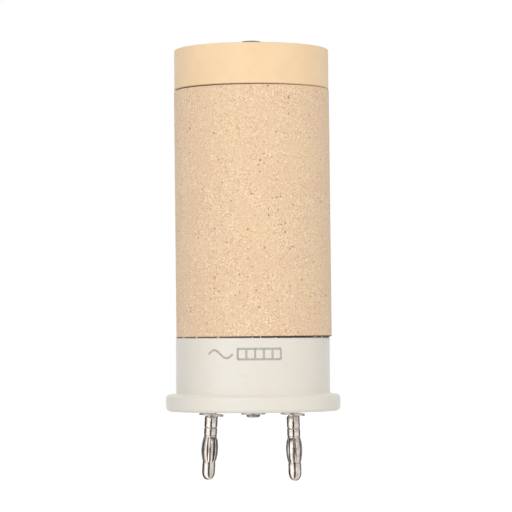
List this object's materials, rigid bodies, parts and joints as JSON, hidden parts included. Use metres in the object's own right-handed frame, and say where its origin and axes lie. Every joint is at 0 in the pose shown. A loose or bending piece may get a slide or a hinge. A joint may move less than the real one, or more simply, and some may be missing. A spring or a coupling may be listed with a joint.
{
  "type": "plug-in ceramic heating element",
  "caption": "Round ceramic cartridge that heats air: a grainy sleeve around honeycomb cores with wire windings, an outlet cap, and a flanged white base with spring plug pins.",
  "frame": {"origin": "on the element's axis, at the upper face of the base's flange, the face that seats in the heater tube", "axes": "+Z along the axis from the plug pins to the air outlet; +X from the left plug pin to the right one; -Y faces the viewer of the picture"},
  "size_m": [0.0494, 0.0494, 0.125],
  "materials": {
    "white_ceramic": "satin",
    "sleeve_ceramic": "matte",
    "cap_ceramic": "satin",
    "core_ceramic": "matte",
    "resistance_wire": "satin",
    "steel": "satin",
    "nickel_plate": "polished"
  },
  "bodies": {
    "root": {"base": "white_ceramic", "outer_sleeve": "sleeve_ceramic", "outlet_cap": "cap_ceramic", "core_segment_1": "core_ceramic", "core_segment_2": "core_ceramic", "core_segment_3": "core_ceramic", "core_segment_4": "core_ceramic", "winding_front": "resistance_wire", "winding_back": "resistance_wire", "tie_rod": "steel", "tie_rod_washer": "steel", "tie_rod_nut": "steel", "plug_pin_left": "nickel_plate", "contact_spring_left": "nickel_plate", "pin_washer_left": "steel", "terminal_left": "steel", "lock_washer_left": "steel", "pin_nut_left": "steel", "plug_pin_right": "nickel_plate", "contact_spring_right": "nickel_plate", "pin_washer_right": "steel", "terminal_right": "steel", "lock_washer_right": "steel", "pin_nut_right": "steel"}
  },
  "joints": []
}
